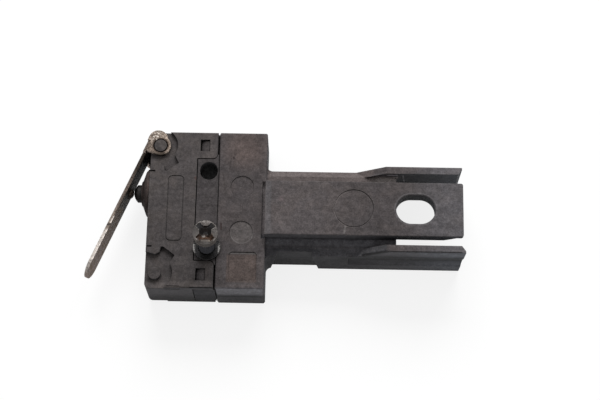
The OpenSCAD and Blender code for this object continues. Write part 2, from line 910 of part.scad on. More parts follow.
mounting_bracket();
switch_cover();
switch_base();
terminal_seal();
plunger_boot();
plunger();
actuator_lever();
common_terminal();
open_terminal();
closed_terminal();
open_contact();
closed_contact();
moving_blade();
moving_contact();
snap_spring();
fixing_screw();
screw_washer();
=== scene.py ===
from collections import namedtuple
from math import radians

import bpy
from mathutils import Euler, Matrix, Vector


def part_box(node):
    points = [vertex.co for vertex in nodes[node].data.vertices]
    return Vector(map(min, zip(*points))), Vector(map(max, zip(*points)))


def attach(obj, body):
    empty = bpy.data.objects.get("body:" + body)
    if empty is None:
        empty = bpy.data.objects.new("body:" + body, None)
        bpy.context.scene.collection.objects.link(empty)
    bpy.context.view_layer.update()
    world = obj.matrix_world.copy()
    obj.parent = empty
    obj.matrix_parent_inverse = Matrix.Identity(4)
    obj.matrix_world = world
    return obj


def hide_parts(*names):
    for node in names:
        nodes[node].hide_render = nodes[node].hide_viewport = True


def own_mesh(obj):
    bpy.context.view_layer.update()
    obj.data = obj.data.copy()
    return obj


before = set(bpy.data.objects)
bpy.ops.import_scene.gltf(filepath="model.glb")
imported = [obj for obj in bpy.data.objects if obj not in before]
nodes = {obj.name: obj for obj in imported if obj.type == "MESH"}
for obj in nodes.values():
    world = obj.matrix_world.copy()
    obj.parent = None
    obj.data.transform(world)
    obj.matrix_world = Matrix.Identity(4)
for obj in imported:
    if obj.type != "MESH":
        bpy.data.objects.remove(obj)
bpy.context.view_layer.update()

MM_PER_M = 1000.0


def box_mm(node):
    low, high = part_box(node)
    return low * MM_PER_M, high * MM_PER_M


# Driving places from the frame. Places and sizes of marks are millimetres in the row frame, near is -Y.
bracket_low, bracket_high = box_mm("mounting_bracket")
cover_low, cover_high = box_mm("switch_cover")
screw_high = box_mm("fixing_screw")[1]
washer_low, washer_high = box_mm("screw_washer")
CASE_FACE = cover_high.z
CASE_END = cover_low.y
BLOCK_SEAM = bracket_low.x
BLOCK_END = bracket_low.y
PAD_FACE = bracket_high.z
HEAD_TOP = screw_high.z
WASHER_X = (washer_low.x + washer_high.x) / 2

# Marks: a box with soft sides, a round spot, and a line with a half width
Field = namedtuple("Field", "place soft amount tone")
Spot = namedtuple("Spot", "place radius amount tone")
Stroke = namedtuple("Stroke", "start end half_width amount tone")

# Shader values that several materials share, with sizes in millimetres
PLAIN = (1.0, 1.0, 1.0)
NOISE_SPAN = (0.3, 0.7)
RUBBED_SPAN = (0.3, 0.6)
EDGE_SPAN = (0.995, 0.75)
UP_SPAN = (0.2, 0.92)
NEAR_SPAN = (-0.5, -0.9)
LEFT_SPAN = (-0.3, -0.7)
BEVEL_SAMPLES = 4
HOLLOW_SAMPLES = 8
EDGE_RADIUS = 0.1
CREASE_REACH = 0.5
DEEP_REACH = 3.0
GRAIN_DEPTH = 0.02


class Shader:
    """One material, with texture space in millimetres of the row frame."""

    def __init__(self, name):
        self.material = bpy.data.materials.new(name)
        self.material.use_nodes = True
        self.tree = self.material.node_tree
        self.tree.nodes.clear()
        self.out = self.add("ShaderNodeOutputMaterial")
        self.bsdf = self.add("ShaderNodeBsdfPrincipled")
        self.link(self.bsdf.outputs[0], self.out.inputs["Surface"])
        coord = self.add("ShaderNodeTexCoord")
        scale = self.add("ShaderNodeVectorMath")
        scale.operation = "SCALE"
        scale.inputs["Scale"].default_value = MM_PER_M
        self.link(coord.outputs["Object"], scale.inputs[0])
        self.mm = scale.outputs[0]

    def add(self, kind):
        return self.tree.nodes.new(kind)

    def link(self, a, b):
        self.tree.links.new(a, b)

    def put(self, value, socket):
        if isinstance(value, (int, float)):
            socket.default_value = value
        elif isinstance(value, (tuple, list)):
            socket.default_value = tuple(value) + (1.0,) * (len(socket.default_value) - len(value))
        else:
            self.link(value, socket)

    # Inputs: texture space, noise, place and direction

    def space(self, scale=(1, 1, 1), turn=0.0, move=(0, 0, 0)):
        node = self.add("ShaderNodeMapping")
        node.inputs["Scale"].default_value = scale
        node.inputs["Rotation"].default_value = (0, 0, turn)
        node.inputs["Location"].default_value = move
        self.link(self.mm, node.inputs["Vector"])
        return node.outputs[0]

    def noise(self, size, detail, rough, space=None, warp=0.0):
        node = self.add("ShaderNodeTexNoise")
        node.inputs["Scale"].default_value = size
        node.inputs["Detail"].default_value = detail
        node.inputs["Roughness"].default_value = rough
        node.inputs["Distortion"].default_value = warp
        self.link(space or self.mm, node.inputs["Vector"])
        return node.outputs[0]

    def axis(self, index):
        node = self.add("ShaderNodeSeparateXYZ")
        self.link(self.mm, node.inputs[0])
        return node.outputs[index]

    def normal_axis(self, index):
        geometry = self.add("ShaderNodeNewGeometry")
        node = self.add("ShaderNodeSeparateXYZ")
        self.link(geometry.outputs["True Normal"], node.inputs[0])
        return node.outputs[index]

    def distance(self, place):
        return self.vector("DISTANCE", self.mm, place, 1)

    # Sums of numbers, vectors and colours

    def math(self, operation, a, b=0.0):
        node = self.add("ShaderNodeMath")
        node.operation = operation
        self.put(a, node.inputs[0])
        self.put(b, node.inputs[1])
        return node.outputs[0]

    def vector(self, operation, a, b, output=0):
        node = self.add("ShaderNodeVectorMath")
        node.operation = operation
        self.put(a, node.inputs[0])
        self.put(b, node.inputs[1])
        return node.outputs[output]

    def ramp(self, value, start, end, before=0.0, after=1.0):
        node = self.add("ShaderNodeMapRange")
        node.interpolation_type = "SMOOTHSTEP"
        self.put(value, node.inputs["Value"])
        node.inputs["From Min"].default_value = start
        node.inputs["From Max"].default_value = end
        node.inputs["To Min"].default_value = before
        node.inputs["To Max"].default_value = after
        return node.outputs[0]

    def spread(self, noise, value, less, more):
        return self.ramp(noise, *NOISE_SPAN, before=value - less, after=value + more)

    def mix(self, amount, a, b, mode="MIX"):
        node = self.add("ShaderNodeMix")
        node.data_type = "RGBA"
        node.blend_type = mode
        self.put(amount, node.inputs[0])
        self.put(a, node.inputs[6])
        self.put(b, node.inputs[7])
        return node.outputs[2]

    def product(self, *values):
        result = values[0]
        for value in values[1:]:
            result = self.math("MULTIPLY", result, value)
        return result

    # Masks

    def up(self):
        return self.ramp(self.normal_axis(2), *UP_SPAN)

    def near(self):
        return self.ramp(self.normal_axis(1), *NEAR_SPAN)

    def left(self, most=1.0):
        return self.ramp(self.normal_axis(0), *LEFT_SPAN, after=most)

    def bevel(self, radius):
        node = self.add("ShaderNodeBevel")
        node.samples = BEVEL_SAMPLES
        node.inputs["Radius"].default_value = radius / MM_PER_M
        return node.outputs[0]

    def edge(self, radius):
        geometry = self.add("ShaderNodeNewGeometry")
        dot = self.vector("DOT_PRODUCT", self.bevel(radius), geometry.outputs["Normal"], 1)
        return self.ramp(dot, *EDGE_SPAN)

    def hollow(self, reach):
        node = self.add("ShaderNodeAmbientOcclusion")
        node.samples = HOLLOW_SAMPLES
        node.inputs["Distance"].default_value = reach / MM_PER_M
        return node.outputs["AO"]

    def inside(self, soft, **limits):
        masks = []
        for index, name in enumerate("xyz"):
            if name in limits:
                low, high = limits[name]
                place = self.axis(index)
                masks.append(self.ramp(place, low - soft, low + soft))
                masks.append(self.ramp(place, high + soft, high - soft))
        return self.product(*masks)

    def spot(self, place, radius, soft=0.5):
        return self.ramp(self.distance(place), radius, (1 - soft) * radius)

    def stroke(self, start, end, half_width, core=0.3):
        along = Vector(end) - Vector(start)
        away = self.vector("SUBTRACT", self.mm, start)
        run = self.math("DIVIDE", self.vector("DOT_PRODUCT", away, tuple(along), 1), along.length_squared)
        run = self.math("MAXIMUM", self.math("MINIMUM", run, 1.0), 0.0)
        gap = self.vector("DISTANCE", away, self.vector("MULTIPLY", tuple(along), run), 1)
        return self.ramp(gap, half_width, core * half_width)

    # Colours: shade multiplies, tint multiplies under a mask, paint covers under masks

    def shade(self, colour, factor):
        return self.mix(1.0, colour, factor, "MULTIPLY")

    def tint(self, colour, mask, factor):
        if isinstance(factor, (int, float)):
            factor = (factor, factor, factor)
        return self.shade(colour, self.mix(mask, PLAIN, factor))

    def paint(self, colour, tone, *masks, amount=1.0):
        return self.mix(self.product(*masks, amount), colour, tone)

    def vary(self, colour, noise, share):
        return self.shade(colour, self.spread(noise, 1.0, less=share, more=share))

    def spots(self, colour, *rows):
        for row in rows:
            colour = self.paint(colour, row.tone, self.spot(row.place, row.radius), amount=row.amount)
        return colour

    def strokes(self, colour, *rows):
        for row in rows:
            line = self.stroke(row.start, row.end, row.half_width)
            colour = self.paint(colour, row.tone, line, amount=row.amount)
        return colour

    # Outputs

    def relief(self, height, depth, round_edge):
        bump = self.add("ShaderNodeBump")
        bump.inputs["Distance"].default_value = depth / MM_PER_M
        self.link(height, bump.inputs["Height"])
        self.link(self.bevel(round_edge), bump.inputs["Normal"])
        self.link(bump.outputs[0], self.bsdf.inputs["Normal"])

    def surface(self, colour, rough, metal, specular):
        self.put(colour, self.bsdf.inputs["Base Color"])
        self.put(rough, self.bsdf.inputs["Roughness"])
        self.put(metal, self.bsdf.inputs["Metallic"])
        self.put(specular, self.bsdf.inputs["Specular IOR Level"])


# Plastics: weight of the coarse grain, spans of noise, of height on the walls for painted shade low down,
# and of openness in creases for worn edges and painted shade
MOTTLE_WEIGHT = 1.5
WARM_SPAN = (0.4, 0.62)
FLECK_SPAN = (0.66, 0.76)
LOW_WALL_SHADE = (0.0, 5.0)
OPEN_EDGE = (0.75, 0.98)
CREASE_SHADE_SPAN = (0.3, 0.9)
DEEP_SHADE_SPAN = (0.12, 0.45)


def plastic(name, bare, dust, warm, worn, rough=0.62, specular=0.08, deep_shade=0.02, marks=None):
    """Moulding with bare walls, dust on upward faces, painted shade low on the walls and in creases, and
    pale worn edges.
    """
    s = Shader(name)
    fine = s.noise(size=8.0, detail=2.0, rough=0.6)
    mottle = s.noise(size=2.3, detail=4.0, rough=0.75)
    cloud = s.noise(size=0.33, detail=3.0, rough=0.6, warp=0.5)
    wipe = s.noise(size=0.9, detail=3.0, rough=0.6, space=s.space(scale=(0.25, 1.5, 1.0), turn=0.3))
    patch = s.noise(size=1.1, detail=3.0, rough=0.6, space=s.space(move=(5.0, 2.0, 4.0)))
    grit = s.noise(size=4.2, detail=1.0, rough=0.5, space=s.space(move=(3.0, 7.0, 1.0)))
    crease = s.hollow(CREASE_REACH)
    deep = s.hollow(DEEP_REACH)
    up = s.up()
    colour = s.mix(up, bare, s.mix(s.ramp(cloud, *WARM_SPAN), dust, warm))
    if marks:
        colour = marks(s, colour, up)
    for noise, share in ((mottle, 0.24), (fine, 0.2), (wipe, 0.1), (patch, 0.12)):
        colour = s.vary(colour, noise, share)
    colour = s.paint(colour, worn, s.ramp(grit, *FLECK_SPAN), up, amount=0.45)
    # Painted shade: walls darker towards the bottom, while upward faces keep their colour
    low_wall_shade = s.ramp(s.axis(2), *LOW_WALL_SHADE, before=0.7, after=1.0)
    colour = s.shade(colour, s.math("MAXIMUM", up, low_wall_shade))
    rubbed = s.ramp(mottle, *RUBBED_SPAN, before=0.2, after=0.75)
    colour = s.paint(colour, worn, s.edge(EDGE_RADIUS), s.ramp(crease, *OPEN_EDGE), rubbed)
    # Painted shade in creases and deep hollows, from occlusion
    colour = s.shade(colour, s.ramp(crease, *CREASE_SHADE_SPAN, before=0.6, after=1.0))
    colour = s.shade(colour, s.ramp(deep, *DEEP_SHADE_SPAN, before=deep_shade, after=1.0))
    s.surface(colour, s.spread(mottle, rough, less=0.08, more=0.12), metal=0.0, specular=specular)
    s.relief(s.math("ADD", fine, s.math("MULTIPLY", mottle, MOTTLE_WEIGHT)), GRAIN_DEPTH, round_edge=0.08)
    return s.material


# Metals: spans of noise and of openness in hollows, for the bright edges and the painted shade
STAIN_SPAN = (0.92, 1.16)
OPEN_RIM = (0.7, 0.97)
HOLLOW_SHADE_SPAN = (0.2, 0.9)


def steel(name, top, side, stain, bright, rough, metal=0.85, specular=0.5, outer=0.0, marks=None):
    """Sheet or turned metal with stains, painted reflection as separate colours for upward faces and sides,
    bright edges that are both wear and painted glints, and painted shade in hollows.
    """
    s = Shader(name)
    speck = s.noise(size=3.4, detail=4.0, rough=0.7)
    cloud = s.noise(size=0.9, detail=3.0, rough=0.6, warp=0.6)
    line = s.noise(size=4.0, detail=3.0, rough=0.6, space=s.space(scale=(0.3, 3.0, 3.0), turn=1.2))
    hollow = s.hollow(CREASE_REACH)
    up = s.up()
    stained = s.ramp(s.math("ADD", cloud, speck), *STAIN_SPAN, before=0.0, after=0.6)
    # Painted reflection: upward faces take the top colour and sides the side colour
    colour = s.mix(stained, s.mix(up, side, top), stain)
    rubbed = s.ramp(speck, *RUBBED_SPAN, before=0.25, after=0.8)
    # Bright edges: rubbed wear, which also stands in for painted glints
    colour = s.paint(colour, bright, s.edge(EDGE_RADIUS), s.ramp(hollow, *OPEN_RIM), rubbed)
    if marks:
        colour = marks(s, colour, up, speck, hollow)
        metal = s.math("MAXIMUM", s.product(up, metal), s.left(most=outer))
    # Painted shade in hollows, from occlusion
    colour = s.shade(colour, s.ramp(hollow, *HOLLOW_SHADE_SPAN, before=0.4, after=1.0))
    s.surface(colour, s.spread(speck, rough, less=0.1, more=0.15), metal, specular)
    s.relief(s.math("ADD", speck, line), GRAIN_DEPTH, round_edge=0.06)
    return s.material


# Bracket: dust along the arm, as spans in x and distances from its middle line
ARM_ROOT = (2.0, 3.2)
ARM_MIDDLE = (8.0, 15.0)
ARM_FORK = (18.0, 26.0)
FORK_TINT = (1.42, 1.52, 1.6)
RAIL_RISE = (14.0, 18.0)
RAIL_SIDE = (4.2, 4.6)
RAIL_TINT = 1.22


def arm_dust(s, colour, x, y):
    colour = s.shade(colour, s.ramp(x, *ARM_ROOT, before=0.88, after=1.13))
    colour = s.shade(colour, s.ramp(x, *ARM_MIDDLE, before=1.0, after=0.78))
    colour = s.tint(colour, s.ramp(x, *ARM_FORK), FORK_TINT)
    rails = s.product(s.ramp(x, *RAIL_RISE), s.ramp(s.math("ABSOLUTE", y), *RAIL_SIDE))
    return s.tint(colour, rails, RAIL_TINT)


# Bracket: fields of dust, stain and tone on upward faces, with painted light in the moat, at the pad's root
# and along the square's far rim, and painted shade on the dent's lip
FAR_SHOULDER = {"x": (3.0, 20.0), "y": (3.6, 6.0), "z": (5.0, 6.6)}
SQUARE = {"x": (-1.6, 2.0), "y": (-9.2, -5.7)}
SQUARE_RIM = {"x": (-1.4, 2.0), "y": (-5.62, -5.5)}
PAD_ROOT = {"x": (2.9, 3.6), "y": (-3.4, 3.4), "z": (6.6, 9.0)}
MOAT = {"x": (2.3, 3.0), "y": (-4.6, 4.6), "z": (5.0, 6.2)}
NEAR_SHOULDER = {"x": (2.0, 16.0), "y": (-6.5, -3.0), "z": (4.0, 6.0)}
SHOULDER_TOP = {"x": (2.0, 20.0), "y": (-4.3, -3.0), "z": (5.2, 6.2)}
DENT_LIP = {"x": (3.6, 9.4), "y": (-5.0, -4.6), "z": (4.8, 6.2)}
DUSTY_FIELDS = (
    Field(FAR_SHOULDER, soft=0.15, amount=1.0, tone=(0.118, 0.099, 0.096)),
    Field(SQUARE, soft=0.15, amount=0.8, tone=(0.088, 0.067, 0.06)),
    # Painted light: a pale line along the square's far rim
    Field(SQUARE_RIM, soft=0.08, amount=0.6, tone=(0.17, 0.16, 0.155)),
    # Painted highlight: a paler band at the pad's left end
    Field(PAD_ROOT, soft=0.15, amount=0.6, tone=(0.115, 0.11, 0.115)),
    # Painted light: a pale tone in the moat that lifts its shade
    Field(MOAT, soft=0.15, amount=1.0, tone=(0.26, 0.23, 0.234)),
    Field(NEAR_SHOULDER, soft=0.3, amount=1.0, tone=(0.062, 0.061, 0.067)),
    Field(SHOULDER_TOP, soft=0.3, amount=0.8, tone=(0.12, 0.118, 0.128)),
    # Painted shade: a dark line on the dent's lip
    Field(DENT_LIP, soft=0.4, amount=0.7, tone=(0.02, 0.02, 0.023)),
)
BLOCK_STAIN = Spot((0.3, 7.9, CASE_FACE), radius=3.8, amount=0.7, tone=(0.112, 0.085, 0.078))


def dusty_fields(s, colour, up):
    for row in DUSTY_FIELDS:
        colour = s.paint(colour, row.tone, up, s.inside(row.soft, **row.place), amount=row.amount)
    stain = s.spot(BLOCK_STAIN.place, BLOCK_STAIN.radius, soft=0.8)
    return s.paint(colour, BLOCK_STAIN.tone, up, stain, amount=BLOCK_STAIN.amount)


# Bracket: paler round field on the block, with a painted highlight on its near rim
DISC = (0.1, -2.9, CASE_FACE)
DISC_RADIUS = 1.4
DISC_FIELD = (DISC_RADIUS + 0.05, DISC_RADIUS - 0.05)
DISC_RIM_INNER = (DISC_RADIUS - 0.12, DISC_RADIUS - 0.04)
DISC_RIM_OUTER = (DISC_RADIUS + 0.08, DISC_RADIUS)
DISC_NEAR_HALF = (DISC[1] + 0.5, DISC[1] - 0.5)
DISC_TONE = (0.115, 0.104, 0.101)
DISC_RIM_HIGHLIGHT = (0.17, 0.158, 0.155)


def round_field(s, colour, y):
    away = s.distance(DISC)
    colour = s.paint(colour, DISC_TONE, s.ramp(away, *DISC_FIELD), amount=0.5)
    # Painted highlight on the near half of the rim
    rim = s.product(s.ramp(away, *DISC_RIM_INNER), s.ramp(away, *DISC_RIM_OUTER))
    return s.paint(colour, DISC_RIM_HIGHLIGHT, rim, s.ramp(y, *DISC_NEAR_HALF), amount=0.6)


# Bracket: worn rim of the round-ended slot, from half its straight length and the rim's two radii
SLOT_X = 21.15
SLOT_STRAIGHT = 0.56
SLOT_RIM = (2.15, 2.0)
SLOT_TONE = (0.15, 0.143, 0.148)


def slot_rim(s, colour, up, x, y):
    along = s.math("ABSOLUTE", s.math("SUBTRACT", x, SLOT_X))
    past = s.math("MAXIMUM", s.math("SUBTRACT", along, SLOT_STRAIGHT), 0.0)
    away = s.math("SQRT", s.math("ADD", s.math("POWER", past, 2.0), s.math("POWER", y, 2.0)))
    return s.paint(colour, SLOT_TONE, up, s.ramp(away, *SLOT_RIM), amount=0.45)


# Bracket: groove of the round mark, lightened on its near and left sides as painted light that takes out
# its shade there
MARK = (13.65, 0.0, PAD_FACE)
GROOVE_RADIUS = 2.36
GROOVE_HALF = (0.1, 0.08)
GROOVE_LIGHT_TINT = 1.8
NEAR_SIDE = (MARK[1] + 0.3, MARK[1] - 1.2)
LEFT_SIDE = (MARK[0] - 0.45, MARK[0] - 1.75)


def round_mark(s, colour, x, y):
    # Painted light: the groove lightened on its near and left sides
    lit_sides = s.math("MAXIMUM", s.ramp(y, *NEAR_SIDE), s.ramp(x, *LEFT_SIDE))
    from_groove = s.math("ABSOLUTE", s.math("SUBTRACT", s.distance(MARK), GROOVE_RADIUS))
    return s.tint(colour, s.product(s.ramp(from_groove, *GROOVE_HALF), lit_sides), GROOVE_LIGHT_TINT)


# Bracket: near end of the block, with a paler rim on top, a parting line, a lightened lower half and a
# paler upper half that is painted reflected light
LINE_TOP = 3.2
LINE_FOOT = 3.0
LINE_TONE = (0.015, 0.015, 0.016)
END_FACE = (BLOCK_END + 0.8, BLOCK_END + 0.5)
END_LOWER = (LINE_FOOT, LINE_FOOT - 0.2)
END_UPPER = (LINE_TOP, LINE_TOP + 1.4)
END_RIM = {"x": (BLOCK_SEAM - 0.05, 2.8), "y": (BLOCK_END + 0.1, BLOCK_END + 0.6)}
END_RIM_TINT = 1.25
END_LOWER_TINT = 1.34
END_UPPER_SHEEN = (0.168, 0.165, 0.177)


def block_end(s, colour, up, near, y, z):
    colour = s.tint(colour, s.product(up, s.inside(soft=0.15, **END_RIM)), END_RIM_TINT)
    face = s.product(near, s.ramp(y, *END_FACE))
    colour = s.tint(colour, s.product(face, s.ramp(z, *END_LOWER)), END_LOWER_TINT)
    # Painted light: the upper half of the end face paler, as reflected light
    colour = s.paint(colour, END_UPPER_SHEEN, face, s.ramp(z, *END_UPPER))
    return s.paint(colour, LINE_TONE, face, s.inside(soft=0.1, z=(LINE_FOOT, LINE_TOP)))


# Bracket: painted light and shade on near-facing walls of the arm: the flute, darkest near its top edge;
# the dent, darker towards the bottom; the far rail's inside and the pad's side, lightened
FLUTE_START = (10.0, 18.0)
FLUTE_WALL = (-4.6, -4.9)
FLUTE_UPPER = (4.8, 6.5)
FLUTE_LOWER = (3.9, 2.3)
FLUTE_SHADE = 0.42
DENT = {"x": (3.9, 8.6), "y": (-5.0, -3.8), "z": (-1.0, 5.7)}
DENT_RISE = (0.6, 4.6)
FAR_WALL = {"x": (18.9, 28.0), "y": (4.4, 4.7)}
FAR_WALL_LIGHT = 1.28
PAD_SIDE = {"y": (-3.9, -3.1), "z": (6.0, 7.6)}
PAD_SIDE_LIGHT = 1.55


def arm_walls(s, colour, near, x, y, z):
    # Painted shade and light on the flute: darkest just under its top edge, lighter above and below
    wall = s.product(near, s.ramp(x, *FLUTE_START), s.ramp(y, *FLUTE_WALL))
    upper = s.ramp(z, *FLUTE_UPPER, before=FLUTE_SHADE, after=1.85)
    lower = s.ramp(z, *FLUTE_LOWER, before=FLUTE_SHADE, after=1.7)
    colour = s.tint(colour, wall, s.math("MAXIMUM", upper, lower))
    dent_tint = s.ramp(z, *DENT_RISE, before=0.45, after=1.1)
    colour = s.tint(colour, s.product(near, s.inside(soft=0.2, **DENT)), dent_tint)
    colour = s.tint(colour, s.product(near, s.inside(soft=0.1, **FAR_WALL)), FAR_WALL_LIGHT)
    return s.tint(colour, s.product(near, s.inside(soft=0.1, **PAD_SIDE)), PAD_SIDE_LIGHT)


# Bracket: near ramp, where it stands above the sloped shoulder, painted paler at its foot and darker at its
# top as light and shade
SHOULDER_SLOPE = 0.739
SHOULDER_LEVEL = 9.2625
RAMP = {"x": (12.0, 17.65), "y": (-5.6, -4.5)}
RAMP_LIFT = (0.05, 0.2)
RAMP_RUN = (14.0, 17.6)
RAMP_FOOT_LIGHT = (0.1, 0.098, 0.104)
RAMP_TOP_SHADE = (0.062, 0.061, 0.065)


def near_ramp(s, colour, up, x, y, z):
    shoulder = s.math("ADD", s.math("MULTIPLY", y, SHOULDER_SLOPE), SHOULDER_LEVEL)
    above = s.ramp(s.math("SUBTRACT", z, shoulder), *RAMP_LIFT)
    tone = s.mix(s.ramp(x, *RAMP_RUN), RAMP_FOOT_LIGHT, RAMP_TOP_SHADE)
    return s.paint(colour, tone, up, above, s.inside(soft=0.1, **RAMP))


# Bracket: pale dust in the pocket inside the far rail, with painted light that lifts the rail's shadow on
# its floor and wall
POCKET_WALL = {"x": (15.0, 18.7), "y": (3.75, 4.7), "z": (6.4, 7.4)}
POCKET_FLOOR = {"x": (15.0, 19.0), "y": (3.75, 4.7), "z": (5.5, 6.4)}
POCKET_FADE = (15.2, 17.0)
POCKET_WALL_LIGHT = (0.11, 0.1, 0.105)
POCKET_FLOOR_DUST_AND_LIGHT = (0.48, 0.43, 0.415)


def far_pocket(s, colour, x):
    colour = s.paint(colour, POCKET_WALL_LIGHT, s.inside(soft=0.15, **POCKET_WALL))
    return s.paint(colour, POCKET_FLOOR_DUST_AND_LIGHT, s.inside(soft=0.15, **POCKET_FLOOR), s.ramp(x, *POCKET_FADE))


# Bracket: scratches and stains of the block and the pad
FACE_STROKES = (
    Stroke((12.65, -2.27, PAD_FACE), (12.48, -3.16, PAD_FACE), 0.17, 0.5, (0.2, 0.185, 0.18)),
    Stroke((-2.45, -1.77, CASE_FACE), (-2.41, -2.6, CASE_FACE), 0.13, 0.8, (0.03, 0.017, 0.015)),
    Stroke((-1.41, 7.07, CASE_FACE), (-1.7, 4.84, CASE_FACE), 0.12, 0.35, (0.03, 0.025, 0.024)),
    Stroke((-2.44, 4.82, CASE_FACE), (-2.11, 2.48, CASE_FACE), 0.12, 0.35, (0.035, 0.028, 0.026)),
    Stroke((-1.05, 7.75, CASE_FACE), (-1.02, 7.2, CASE_FACE), 0.3, 0.45, (0.04, 0.032, 0.03)),
    Stroke((-1.2, 6.75, CASE_FACE), (-1.15, 6.62, CASE_FACE), 0.2, 0.7, (0.022, 0.017, 0.016)),
    Stroke((5.85, 2.54, PAD_FACE), (5.95, 2.6, PAD_FACE), 0.22, 0.5, (0.04, 0.037, 0.038)),
)
# Bracket: dark lines of painted shade at the near ramp, along the block's near edge and along the near
# rail's top edge
NEAR_RAIL_Y = -5.43
SHADE_LINES = (
    Stroke((14.9, NEAR_RAIL_Y, 5.75), (17.6, NEAR_RAIL_Y, 7.4), 0.36, 0.9, (0.01, 0.01, 0.011)),
    Stroke((13.4, NEAR_RAIL_Y, 5.2), (13.6, NEAR_RAIL_Y, 5.0), 0.32, 0.5, (0.012, 0.012, 0.013)),
    Stroke((-2.9, BLOCK_END, 6.37), (2.9, BLOCK_END, 6.37), 0.17, 0.7, (0.02, 0.02, 0.021)),
    Stroke((17.8, NEAR_RAIL_Y, 7.55), (26.6, NEAR_RAIL_Y, 7.6), 0.2, 0.9, (0.01, 0.01, 0.011)),
)
# Bracket: painted highlights, a pale line and a short streak, on the inner wall of the far rail
FAR_RAIL_Y = 4.55
HIGHLIGHT_LINES = (
    Stroke((19.61, FAR_RAIL_Y, 6.9), (19.9, FAR_RAIL_Y, 4.6), 0.13, 0.8, (0.34, 0.33, 0.34)),
    Stroke((17.78, FAR_RAIL_Y, 6.9), (18.88, FAR_RAIL_Y, 6.95), 0.2, 0.8, (0.6, 0.56, 0.6)),
)
# Bracket: painted light in the far corner of the moat, lifting its shade, and a pale spot on the pad
MOAT_CORNER = {"x": (2.4, 2.92), "y": (3.3, 3.75), "z": (5.8, 6.32)}
MOAT_CORNER_LIGHT = (0.5, 0.45, 0.45)
PAD_SPOT = Spot((4.8, 1.05, PAD_FACE), radius=0.55, amount=0.6, tone=(0.15, 0.12, 0.122))


def bracket_marks(s, colour, up):
    near = s.near()
    x, y, z = s.axis(0), s.axis(1), s.axis(2)
    colour = arm_dust(s, colour, x, y)
    colour = dusty_fields(s, colour, up)
    colour = round_field(s, colour, y)
    colour = slot_rim(s, colour, up, x, y)
    colour = round_mark(s, colour, x, y)
    colour = block_end(s, colour, up, near, y, z)
    colour = arm_walls(s, colour, near, x, y, z)
    colour = near_ramp(s, colour, up, x, y, z)
    colour = far_pocket(s, colour, x)
    colour = s.strokes(colour, *FACE_STROKES, *SHADE_LINES, *HIGHLIGHT_LINES)
    colour = s.paint(colour, MOAT_CORNER_LIGHT, s.inside(soft=0.04, **MOAT_CORNER))
    pale = s.spot(PAD_SPOT.place, PAD_SPOT.radius, soft=0.8)
    return s.paint(colour, PAD_SPOT.tone, pale, amount=PAD_SPOT.amount)


# Cover: dust towards the far end, a paler near rim, a dark line of painted shade along the near edge, walls
# painted darker low down and under the top edge, a worn left edge, painted shade on the far boss and a red
# speck
COVER_DUST = (-8.0, 9.0)
COVER_RIM = {"y": (CASE_END + 0.1, CASE_END + 0.8)}
COVER_RIM_TINT = 1.45
COVER_SHADE_LINE = Stroke(
    start=(-5.9, CASE_END, CASE_FACE - 0.05),
    end=(-3.2, CASE_END, CASE_FACE - 0.05),
    half_width=0.2,
    amount=0.8,
    tone=(0.012, 0.012, 0.013),
)
COVER_EDGE = Stroke(
    start=(-11.43, 4.5, CASE_FACE),
    end=(-11.47, -2.8, CASE_FACE),
    half_width=0.16,
    amount=0.5,
    tone=(0.13, 0.118, 0.115),
)
WALL_RISE = (0.8, 4.0)
WALL_TOP = (6.2, 5.3)
COVER_SPOTS = (
    # The first two spots are painted shade on the far boss's left and near sides
    Spot((-10.72, 8.2, CASE_FACE), radius=0.5, amount=0.55, tone=(0.04, 0.037, 0.037)),
    Spot((-10.4, 7.6, CASE_FACE), radius=0.5, amount=0.6, tone=(0.025, 0.023, 0.023)),
    Spot((-5.73, 3.98, CASE_FACE), radius=0.3, amount=0.5, tone=(0.09, 0.05, 0.042)),
)


def cover_marks(s, colour, up):
    z = s.axis(2)
    colour = s.shade(colour, s.ramp(s.axis(1), *COVER_DUST, before=1.12, after=1.3))
    colour = s.tint(colour, s.product(up, s.inside(soft=0.15, **COVER_RIM)), COVER_RIM_TINT)
    colour = s.strokes(colour, COVER_SHADE_LINE)
    # Painted shade and light on the walls: darker low down, lighter higher up, dimmed again just under the
    # top edge
    rise = s.ramp(z, *WALL_RISE, before=0.65, after=1.9)
    top = s.ramp(z, *WALL_TOP, before=0.7, after=1.0)
    colour = s.shade(colour, s.mix(up, s.product(rise, top), PLAIN))
    colour = s.strokes(colour, COVER_EDGE)
    return s.spots(colour, *COVER_SPOTS)


# Lever: inner face of the blade, as spans in y from root to tip, in z for the lower half, and of noise
ROOT_SPAN = (3.0, 5.6)
INNER_SPAN = (1.5, -1.5)
TIP_SPAN = (-1.5, -5.0)
LOWER_SPAN = (1.0, -1.5)
LOWER_HALF = (1.0, 3.5)
BROWN_SPAN = (3.0, 0.5)
BROWN_NOISE = (0.45, 0.6)
ROOT_TONE = (0.014, 0.012, 0.011)
MIDDLE_TONE = (0.026, 0.021, 0.018)
TIP_TONE = (0.235, 0.184, 0.162)
TIP_END_TONE = (0.26, 0.203, 0.183)
BROWN_TONE = (0.17, 0.12, 0.075)


def blade_inside(s, y):
    """Painted shade and reflection: dark at the root, paler towards the tip and the lower edge; with brown
    stains.
    """
    tip = s.mix(s.ramp(y, *TIP_SPAN), TIP_TONE, TIP_END_TONE)
    colour = s.mix(s.ramp(y, *ROOT_SPAN), MIDDLE_TONE, ROOT_TONE)
    colour = s.mix(s.ramp(y, *INNER_SPAN), colour, tip)
    # Painted light: the lower part of the inner face paler, as light from below
    lower = s.ramp(s.axis(2), *LOWER_HALF, before=1.35, after=0.95)
    colour = s.tint(colour, s.ramp(y, *LOWER_SPAN), lower)
    stain = s.ramp(s.noise(size=1.3, detail=3.0, rough=0.65), *BROWN_NOISE)
    return s.paint(colour, BROWN_TONE, stain, s.ramp(y, *BROWN_SPAN), amount=0.8)


